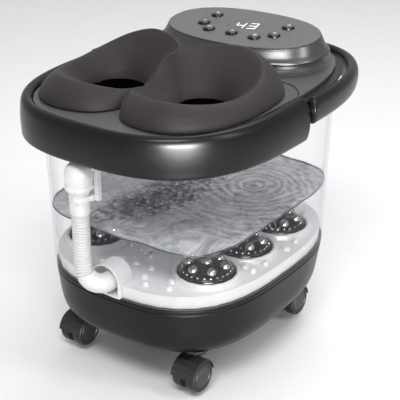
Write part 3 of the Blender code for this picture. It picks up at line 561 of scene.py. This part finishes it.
def build_foot_cover():
    """Both cuffs merged into one moulding and smoothed where they meet."""
    lips = [Vector(p) for p in smooth_rows(LIP_POINTS, 7, True)]
    columns = [cuff_section(lip) for lip in lips]
    bm = bmesh.new()
    for sign in (1, -1):
        skin(bm, [[Vector((sign * p.x, p.y, p.z)) for p in column] for column in columns], True, True)
    bmesh.ops.recalc_face_normals(bm, faces=bm.faces)
    raw = bpy.data.meshes.new("cuffs_raw")
    bm.to_mesh(raw)
    bm.free()
    thing = bpy.data.objects.new("cuffs_raw", raw)
    SCENE.collection.objects.link(thing)
    fuse = thing.modifiers.new("fuse", "REMESH")
    fuse.mode = "VOXEL"
    fuse.voxel_size = 0.0017
    ease = thing.modifiers.new("ease", "SMOOTH")
    ease.factor = 0.5
    ease.iterations = 4
    bpy.context.view_layer.update()
    made = bpy.data.meshes.new_from_object(thing.evaluated_get(bpy.context.evaluated_depsgraph_get()))
    bpy.data.objects.remove(thing)
    bm = bmesh.new()
    bm.from_mesh(made)
    # Faces below the hole's edge within this reach take the near-black painted shade of the throat.
    for face in bm.faces:
        place = face.calc_center_median()
        reach = math.hypot(abs(place.x) - CUFF_X, place.y - CUFF_Y)
        under = deck_height(place.y) - HOLE_DROP - place.z
        if under > -0.0004 and reach < HOLE_SHADE_REACH:
            face.material_index = 1
    piece("foot_cuffs", bm, [SILICONE, HOLE_SHADE], "lid", ["foot_cover"], 180.0)


def build_seam():
    """Painted shade along the joint between the lift-off lid and the rear deck: a thin dark strip over the
    gap.
    """
    front = []
    rear = []
    for k in range(SEAM_STEPS + 1):
        x = -SEAM_REACH + 2 * SEAM_REACH * k / SEAM_STEPS
        y = 0.0300 + 0.0120 * (x / 0.09) ** 2 - 0.0605 * (x / 0.152) ** 6
        z = deck_height(y) + 0.0002
        front.append(Vector((x, y - SEAM_WIDTH / 2, z)))
        rear.append(Vector((x, y + SEAM_WIDTH / 2, z)))
    raised = [[p + Vector((0, 0, 0.0003)) for p in row] for row in (rear, front)]
    bm = bmesh.new()
    skin(bm, [front, rear] + raised, False, True)
    # The strip takes the black painted shade.
    piece("deck_seam", bm, [SHADE_BLACK], "basin", sharp=30.0)


# ---------------------------------------------------------------- control pod
def pod_row(half_x, half_y, zero_z, slope):
    return half_x, half_y, half_y, POD_Y, zero_z, slope, POD_POWER


def build_pod():
    """Control pod: bright housing with a rolled shoulder, over a foot on the deck that takes the darker deck
    grey as painted shade under the shoulder.
    """
    def panel(a, b, drop):
        return pod_row(a, b, PANEL_ZERO_Z - drop, PANEL_SLOPE)

    def deck(a, b, rise, slope=DECK_SLOPE):
        return pod_row(a, b, DECK_ZERO_Z + rise - (slope - DECK_SLOPE) * POD_Y, slope)

    upper = [panel(0.1080, 0.0573, 0.0022), panel(0.1120, 0.0613, 0.0022), panel(0.1128, 0.0621, 0.0023),
             panel(0.1133, 0.0626, 0.0030), panel(0.1146, 0.0639, 0.0055),
             deck(0.1196, 0.0689, 0.0222, 0.050), deck(0.1232, 0.0725, 0.0190, 0.045),
             deck(0.1246, 0.0739, 0.0168, 0.042), deck(0.1243, 0.0736, 0.0158, 0.040),
             deck(0.1225, 0.0718, 0.0152, 0.038)]
    # Below the shoulder the foot takes the darker deck grey: painted shade under the shoulder.
    shaded_foot = [deck(0.1225, 0.0718, 0.0152, 0.038), deck(0.1170, 0.0663, 0.0140, 0.036),
             deck(0.1155, 0.0648, 0.0110, 0.032), deck(0.1160, 0.0653, 0.0065), deck(0.1180, 0.0673, 0.0030),
             deck(0.1220, 0.0713, 0.0010), deck(0.1268, 0.0763, 0.0004)]
    for name, rows, material in (("pod_housing", upper, POD), ("pod_foot_painted_shade", shaded_foot, DECK)):
        bm = bmesh.new()
        skin(bm, [full_ring(r) for r in smooth_rows(rows, 4)])
        piece(name, bm, [material], "basin", ["control_pod"], 50.0)


def panel_matrix(x, y, rise=0.0):
    """Frame on the panel: local Z is the panel's normal."""
    tilt = Matrix.Rotation(PANEL_LEAN, 4, "X")
    base = Vector((x, y, PANEL_ZERO_Z + PANEL_SLOPE * y))
    return Matrix.Translation(base) @ tilt @ Matrix.Translation((0, 0, rise))


def ribbon(bm, points, width, matrix, material, thick=0.0002):
    """Flat raised line through plan points."""
    for (x1, y1), (x2, y2) in zip(points, points[1:]):
        along = Vector((x2 - x1, y2 - y1, 0))
        length = along.length
        if length < 1e-7:
            continue
        turn = Matrix.Rotation(math.atan2(along.y, along.x), 4, "Z")
        place = matrix @ Matrix.Translation(((x1 + x2) / 2, (y1 + y2) / 2, 0)) @ turn
        made = bmesh.ops.create_cube(bm, size=1.0)
        bmesh.ops.scale(bm, vec=(length + width * 0.6, width, thick), verts=made["verts"])
        bmesh.ops.transform(bm, matrix=place, verts=made["verts"])
        for face in {f for v in made["verts"] for f in v.link_faces}:
            face.material_index = material


def arc_points(radius, start, stop, steps=10):
    return [(radius * math.cos(math.radians(start + (stop - start) * k / steps)),
             radius * math.sin(math.radians(start + (stop - start) * k / steps))) for k in range(steps + 1)]


MARKS = {
    "power": [arc_points(0.0022, -240, 60), [(0, 0.0006), (0, 0.0030)]],
    "heat": [[(-0.0018, -0.0022), (-0.0010, 0.0), (-0.0018, 0.0022)], [(0.0004, -0.0022), (0.0012, 0.0),
             (0.0004, 0.0022)]],
    "timer": [arc_points(0.0024, 0, 360, 14), [(0, 0.0016), (0, 0), (0.0012, 0)]],
    "bubble": [arc_points(0.0014, 0, 360), [(0.0018, 0.0018), (0.0026, 0.0018)]],
    "massage": [arc_points(0.0024, 20, 200), arc_points(0.0012, 200, 380)],
    "light": [[(-0.0020, 0), (0.0020, 0)], [(0, -0.0020), (0, 0.0020)]],
    "mode": [[(-0.0018, 0.0014), (0.0018, 0.0014)], [(-0.0018, 0), (0.0018, 0)],
             [(-0.0018, -0.0014), (0.0018, -0.0014)]],
}


def build_buttons():
    """Glossy black plungers, painted shade for the gap round each key, with a grey cap set back on top so
    the black shows as a crescent of painted shade, and a raised white mark.
    """
    skirt = [(0.0, -0.0030), (0.0084, -0.0030), (0.0085, 0.0012), (0.0082, 0.0020), (0.0076, 0.0024),
             (0.0, 0.0025)]
    cap = [(0.0062, 0.0020), (0.0062, 0.0028), (0.0058, 0.0031), (0.0046, 0.0033), (0.0, 0.0034)]
    for label, x, y in BUTTON_PLACES:
        bm = bmesh.new()
        lathe(bm, skirt, 36, panel_matrix(x, y), 0)
        # The cap sits off the plunger's middle so the black painted shade shows as a crescent on the near
        # side.
        cap_x = x + 0.0002
        cap_y = y + 0.0021
        lathe(bm, cap, 36, panel_matrix(cap_x, cap_y), 1)
        for line in MARKS[label]:
            ribbon(bm, line, 0.0006, panel_matrix(cap_x, cap_y, 0.0034), 2)
        piece("key_" + label, bm, [SHADE_BLACK, KEY_TOP, MARK_PRINT_GLOW], "key_" + label, ["button_" + label])


SEGMENTS = {"4": "bcfg", "3": "abcdg"}


def build_display():
    """Two slanted seven-segment digits just over the lens."""
    width = 0.0112
    half = 0.0096
    bar = 0.0007
    slant = 0.06
    turn = Matrix.Rotation(math.radians(15), 4, "Z")
    ends = {"a": ((0, 2 * half), (width, 2 * half)), "b": ((width, 2 * half), (width, half)),
            "c": ((width, half), (width, 0)), "d": ((0, 0), (width, 0)), "e": ((0, half), (0, 0)),
            "f": ((0, 2 * half), (0, half)), "g": ((0, half), (width, half))}
    place = panel_matrix(0.0030, 0.1140, 0.0002) @ turn
    bm = bmesh.new()
    for digit, left in (("4", -0.0140), ("3", 0.0034)):
        for label in SEGMENTS[digit]:
            line = [(left + x * 0.97 + slant * (y - half), (y - half) * 0.98) for x, y in ends[label]]
            ribbon(bm, line, bar, place, 0)
    piece("display_digits", bm, [LED], "basin")


# ---------------------------------------------------------------- tub contents
def circle(count, radius, z, start=0.0):
    angles = [math.tau * k / count + start for k in range(count)]
    return [Vector((radius * math.cos(a), radius * math.sin(a), z)) for a in angles]


def build_discs():
    """Ribbed chrome domes with a crown of kneading balls, each in a polished ring."""
    dome = [(0.0365, 0.1453), (0.0372, 0.1470), (0.0372, 0.1490), (0.0364, 0.1500), (0.0352, 0.1503),
            (0.0350, 0.1512), (0.0338, 0.1535), (0.0290, 0.1572), (0.0210, 0.1604), (0.0110, 0.1622),
            (0.0, 0.1626)]
    profile = smooth_rows(dome, 3)
    for row, y in DISC_ROWS:
        for side, sign in SIDES:
            bm = bmesh.new()
            centre = Vector((sign * DISC_X, y, 0))
            lathe(bm, profile, 56, Matrix.Translation(centre), 0)
            lathe(bm, [(0.0, 0.1453), (0.0365, 0.1453)], 56, Matrix.Translation(centre), 0)
            for spot in circle(6, 0.0235, 0.1598, 0.35):
                ball(bm, centre + spot, 0.0068, 1)
            ball(bm, centre + Vector((0, 0, 0.1628)), 0.0075, 1)
            for spot in circle(24, 0.0315, 0.1556):
                ball(bm, centre + spot, 0.0018, 1, detail=1)
            name = row + "_" + side
            shaft = [(0.0, 0.0985), (0.0045, 0.0985), (0.0045, 0.1453)]
            lathe(bm, shaft, 20, Matrix.Translation(centre), 0)
            piece("massage_dome_" + name, bm, [CHROME, BALL], "disc_" + name, ["massage_disc_" + name])


def build_tray_nubs():
    """Raised beads on the tray round the discs, and the low steps that join the cups."""
    bm = bmesh.new()
    outer = level(0.1350, 0.1600, 0.1600, TUB_CENTRE_Y, FLOOR_TOP)
    inner = level(0.1200, 0.1440, 0.1440, TUB_CENTRE_Y, FLOOR_TOP)
    spots = [oval_point(outer, math.tau * k / 34) for k in range(34)]
    spots += [oval_point(inner, math.tau * k / 26 + 0.1) for k in range(26)]
    spots += [Vector((x, y, FLOOR_TOP)) for x in (-0.024, 0.0, 0.024)
              for y in (-0.150, -0.128, -0.060, -0.036, 0.030, 0.054, 0.100, 0.124)]
    for spot in spots:
        clear = all((spot - Vector((sign * DISC_X, y, FLOOR_TOP))).length > BEAD_CLEAR
                    for _row, y in DISC_ROWS for _side, sign in SIDES)
        niche = abs(spot.x) < 0.030 and spot.y < -0.150
        if clear and not niche:
            ball(bm, spot, BEAD_RADIUS)
    cup = [(0.0440, FLOOR_TOP), (0.0432, FLOOR_TOP + 0.0040), (0.0424, FLOOR_TOP + 0.0062),
           (0.0408, FLOOR_TOP + 0.0070), (0.0390, FLOOR_TOP + 0.0064), (0.0384, FLOOR_TOP + 0.0050),
           (0.0384, FLOOR_TOP + 0.0006)]
    for _row, y in DISC_ROWS:
        for _side, sign in SIDES:
            lathe(bm, smooth_rows(cup, 3), 56, Matrix.Translation((sign * DISC_X, y, 0)))
    piece("tray_beads", bm, [WHITE], "basin")


def water_ring(share, lift, steps=168):
    """Ring of the stirred surface; it dips towards the front right corner and climbs at the wall."""
    half_y = WATER_HALF_Y * share
    row = level(WATER_HALF_X * share, half_y, half_y, TUB_CENTRE_Y, WATER_Z, 4.0)
    calm = 1 - share ** 8
    ring = []
    for k in range(steps):
        a = math.tau * k / steps
        p = oval_point(row, a)
        swirl = math.hypot(p.x - SWIRL[0], p.y - SWIRL[1])
        p.z += 0.0010 * math.sin(swirl * 260 + 2.5 * math.sin(a * 2)) * calm
        p.z += 0.0016 * math.sin(p.x * 55 + 1.3) * math.cos(p.y * 48 - 0.6)
        p.z += 0.0010 * share ** 40 + 0.0005 * math.sin(a * 23) * share ** 20
        p.z -= 0.0060 * math.exp(-((p.x - 0.130) ** 2 + (p.y + 0.150) ** 2) / 0.0045)
        ring.append(p + Vector((0, 0, lift)))
    return ring


def build_water():
    """Stirred surface, a painted shade line and a painted highlight line along the wall, foam bubbles and
    small rising ones.
    """
    draw = random.Random(11)
    bm = bmesh.new()
    verts = skin(bm, [water_ring(j / 60, 0.0) for j in range(1, 61)])
    hub = bm.verts.new(sum((v.co for v in verts[0]), Vector()) / len(verts[0]))
    for k in range(len(verts[0])):
        bm.faces.new((hub, verts[0][k], verts[0][(k + 1) % len(verts[0])]))
    piece("water_surface", bm, [WATER], "basin", sharp=180.0)

    bm = bmesh.new()
    turns = [math.tau * k / 8 for k in range(8)]
    edge_shade = [water_ring(1.0 + 0.0070 * math.cos(a), 0.0010 * math.sin(a) - 0.0004) for a in turns]
    skin(bm, edge_shade, True, True)
    # The upper ring, in the bubble film, is a painted highlight line along the water's edge.
    beads = [water_ring(1.0 + 0.0040 * math.cos(a), 0.0006 * math.sin(a) + 0.0022) for a in turns]
    skin(bm, beads, True, True, 1)
    piece("water_edge", bm, [WATER_EDGE_SHADE, BUBBLE_AND_EDGE_GLINT], "basin", sharp=180.0)

    bm = bmesh.new()
    for _k in range(420):
        t = draw.uniform(-1, 1.3)
        x = -0.0190 + t * 0.0190 + draw.gauss(0, 0.014)
        y = -0.0600 + t * 0.0720 + draw.gauss(0, 0.012)
        z = WATER_Z + draw.uniform(0.0, 0.0022)
        ball(bm, Vector((x, y, z)), draw.uniform(0.0009, 0.0034), 0, 0.8, 1)
    for _k in range(260):
        a = draw.uniform(-math.pi * 0.98, 0.4)
        row = level(0.1330, 0.1560, 0.1560, TUB_CENTRE_Y, 0.0)
        p = oval_point(row, a) * draw.uniform(0.84, 1.0)
        p.z = draw.uniform(0.174, 0.198)
        ball(bm, p, draw.uniform(0.0006, 0.0022), 0, 1.0, 1)
    piece("water_bubbles", bm, [BUBBLE_AND_EDGE_GLINT], "basin", sharp=180.0)


# ---------------------------------------------------------------- drain hose
def hose_route():
    return [Vector(p) for p in smooth_rows([
        (0.0040, -0.1735, 0.1475), (0.0040, -0.1850, 0.1475), (0.0025, -0.1970, 0.1482),
        (-0.0050, -0.2065, 0.1520), (-0.0140, -0.2098, 0.1620), (HOSE_X, HOSE_Y, 0.1800),
        (HOSE_X, HOSE_Y, 0.2200), (HOSE_X, HOSE_Y, HOSE_TOP)], 80)]


def hose_radius(travelled, total):
    """Plain elbow, corrugated middle and plain sleeve, by distance along the hose."""
    sleeve_from = total - HOSE_SLEEVE
    if travelled < HOSE_ELBOW:
        return HOSE_R + 0.0003
    if travelled > sleeve_from:
        return HOSE_R + 0.0004 + 0.0004 * (travelled - sleeve_from) / HOSE_SLEEVE
    ease = min(1.0, (travelled - HOSE_ELBOW) / 0.003, (sleeve_from - travelled) / 0.003)
    wave = 0.5 + 0.5 * math.cos(math.tau * travelled / HOSE_PITCH)
    groove = 0.0010 + 0.0026 * (1 - wave ** 0.8)
    return HOSE_R + 0.0002 - ease * groove


def build_hose():
    """Corrugated hose from the niche to the clip, and the plug on its end."""
    route = hose_route()
    lengths = [0.0]
    for a, b in zip(route, route[1:]):
        lengths.append(lengths[-1] + (b - a).length)
    total = lengths[-1]
    count = 640
    loops = []
    index = 0
    side = Vector((1, 0, 0))
    for k in range(count + 1):
        want = total * k / count
        while index < len(lengths) - 2 and lengths[index + 1] < want:
            index += 1
        span = max(lengths[index + 1] - lengths[index], 1e-9)
        centre = route[index].lerp(route[index + 1], (want - lengths[index]) / span)
        ahead = (route[min(index + 4, len(route) - 1)] - route[max(index - 3, 0)]).normalized()
        side = (side - ahead * side.dot(ahead)).normalized()
        up = ahead.cross(side)
        radius = hose_radius(want, total)
        turns = [math.tau * j / 40 for j in range(40)]
        loops.append([centre + (side * math.cos(a) + up * math.sin(a)) * radius for a in turns])
    bm = bmesh.new()
    verts = skin(bm, loops)
    bm.faces.new(verts[0])
    bm.faces.new(verts[-1])
    piece("hose_tube", bm, [HOSE_WHITE], "basin", ["drain_hose"], 60.0)

    cap = [(0.0, 0.0385), (0.0040, 0.0382), (0.0085, 0.0366), (0.0130, 0.0330), (0.0160, 0.0275),
           (0.0171, 0.0205), (0.0168, 0.0140), (0.0158, 0.0098), (0.0157, 0.0090), (0.0168, 0.0086),
           (0.0172, 0.0078), (0.0172, 0.0046), (0.0168, 0.0038), (0.0150, 0.0034), (0.0146, 0.0006),
           (0.0128, 0.0003), (0.0, 0.0003)]
    bm = bmesh.new()
    lathe(bm, smooth_rows(cap, 3), 48, Matrix.Translation((HOSE_X, HOSE_Y, HOSE_TOP)))
    piece("hose_plug", bm, [WHITE], "basin", ["hose_cap"])


# ---------------------------------------------------------------- casters
def build_wheels():
    """Twin wheels: two tyres with set-in hub plates on one axle."""
    side = [(0.0, 0.0170), (0.0138, 0.0170), (0.0142, 0.0164), (0.0148, 0.0164), (0.0153, 0.0172),
            (0.0176, 0.0176), (0.0190, 0.0174), (0.0202, 0.0166), (0.0208, 0.0152), (0.0210, 0.0135),
            (0.0210, 0.0052), (0.0206, 0.0042), (0.0190, 0.0040), (0.0036, 0.0040)]
    for row, stem_y in CASTER_STEMS:
        for label, sign in SIDES:
            name = row + "_" + label
            centre = Vector((sign * CASTER_X, stem_y - CASTER_TRAIL, WHEEL_R))
            spin = Matrix.Translation(centre) @ Matrix.Rotation(math.pi / 2, 4, "Y")
            bm = bmesh.new()
            for flip in (1, -1):
                half = [(r, z * flip) for r, z in side]
                lathe(bm, half[:5], 48, spin, 1)
                lathe(bm, half[4:], 48, spin, 0)
            lathe(bm, [(0.0036, 0.0040), (0.0036, -0.0040)], 24, spin, 0)
            bmesh.ops.remove_doubles(bm, verts=bm.verts, dist=1e-6)
            piece("twin_wheel_" + name, bm, [TYRE, HUB], "wheel_" + name, ["caster_wheel_" + name])


# ---------------------------------------------------------------- carried-over CAD nodes
def paint(material, *names):
    for name in names:
        mesh = NODES[name].data
        if not mesh.materials:
            mesh.materials.append(material)
        for k in range(len(mesh.materials)):
            mesh.materials[k] = material


def paint_nodes():
    """Materials of the CAD nodes that stay as they are."""
    paint(BASE, "bottom_cover", "air_pump")
    paint(RUBBER, "cord_gland", "tub_gasket", "drive_belt")
    paint(CLEAR, "tub_wall")
    paint(WHITE, "floor_tray", "drain_niche", "hose_clip", "motor_pulley")
    paint(STEEL, "temperature_probe", "handle_pin_left", "handle_pin_right", "drive_motor", "water_heater")
    paint(CHARCOAL, "top_collar")
    paint(DECK, "lid_frame", "rear_deck")
    paint(PANEL, "panel_face", "display_window")
    paint(BOARD, "control_board", "power_board")
    for row, _y in CASTER_STEMS:
        for side, _sign in SIDES:
            paint(CASTER, "caster_socket_" + row + "_" + side, "caster_fork_" + row + "_" + side)
    for row, _y in DISC_ROWS:
        for side, _sign in SIDES:
            paint(WHITE, "disc_pulley_" + row + "_" + side)


# ---------------------------------------------------------------- floor, light and camera
def build_stage():
    """Pale paper floor that curves up behind the basin."""
    bm = bmesh.new()
    profile = [(-6.0, 0.0), (2.4, 0.0), (3.0, 0.10), (3.5, 0.45), (3.8, 1.0), (3.9, 4.0)]
    rows = smooth_rows(profile, 6)
    turn = Matrix.Rotation(VIEW_AZIMUTH, 4, "Z")
    loops = [[turn @ Vector((x, y, z)) for x in (-6.0, 6.0)] for y, z in rows]
    skin(bm, loops, False)
    mesh = bpy.data.meshes.new("studio_floor")
    bm.to_mesh(mesh)
    bm.free()
    mesh.shade_smooth()
    mesh.materials.append(moulded("floor_paper", (0.92, 0.92, 0.925), 0.6, spread=0.01, specular=0.1))
    floor = bpy.data.objects.new("studio_floor", mesh)
    SCENE.collection.objects.link(floor)


def area_light(name, azimuth, elevation, distance, size, power, diffuse=True):
    """Soft box that looks at the object; azimuth is measured from -Y towards +X."""
    az = math.radians(azimuth)
    el = math.radians(elevation)
    offset = Vector((math.sin(az) * math.cos(el), -math.cos(az) * math.cos(el), math.sin(el))) * distance
    light = bpy.data.lights.new(name, "AREA")
    light.shape = "RECTANGLE"
    light.size, light.size_y = size
    light.energy = power
    thing = bpy.data.objects.new(name, light)
    thing.location = LIGHT_AIM + offset
    thing.rotation_euler = (-offset).to_track_quat("-Z", "Y").to_euler()
    thing.visible_diffuse = diffuse
    SCENE.collection.objects.link(thing)


def build_light():
    """Soft boxes; the low front one gives the long highlights on the rim."""
    world = bpy.data.worlds.new("studio")
    world.use_nodes = True
    background = world.node_tree.nodes["Background"]
    background.inputs["Color"].default_value = (0.95, 0.96, 0.98, 1.0)
    background.inputs["Strength"].default_value = 0.50
    SCENE.world = world
    area_light("key", 30.0, 50.0, 2.2, (1.0, 0.6), 28.0)
    area_light("front_low", 43.0, 3.0, 2.2, (1.20, 0.40), 190.0, diffuse=False)
    area_light("right_fill", 95.0, 35.0, 2.2, (0.5, 1.2), 12.0)
    area_light("top_back", 190.0, 65.0, 2.2, (1.4, 1.0), 18.0)


def build_camera():
    """Long lens over the front right corner, aimed just beside the middle of the basin."""
    level_reach = math.cos(VIEW_ELEVATION)
    forward = Vector((-math.sin(VIEW_AZIMUTH) * level_reach, math.cos(VIEW_AZIMUTH) * level_reach,
                      -math.sin(VIEW_ELEVATION)))
    right = Vector((math.cos(VIEW_AZIMUTH), math.sin(VIEW_AZIMUTH), 0.0))
    up = right.cross(forward)
    target = Vector((0.0, -0.0313, 0.220)) + right * 0.02441 - up * 0.01959
    data = bpy.data.cameras.new("photo_camera")
    data.sensor_width = 36.0
    data.lens = VIEW_LENS
    data.clip_end = 50.0
    camera = bpy.data.objects.new("photo_camera", data)
    place = Matrix((right, up, -forward)).transposed().to_4x4()
    camera.matrix_world = Matrix.Translation(target - forward * VIEW_DISTANCE) @ place
    SCENE.collection.objects.link(camera)
    SCENE.camera = camera


build_base()
build_bumper()
build_handle()
build_foot_cover()
build_seam()
build_pod()
build_buttons()
build_display()
build_discs()
build_tray_nubs()
build_water()
build_hose()
build_wheels()
paint_nodes()
build_stage()
build_light()
build_camera()
SCENE.view_settings.view_transform = "Standard"
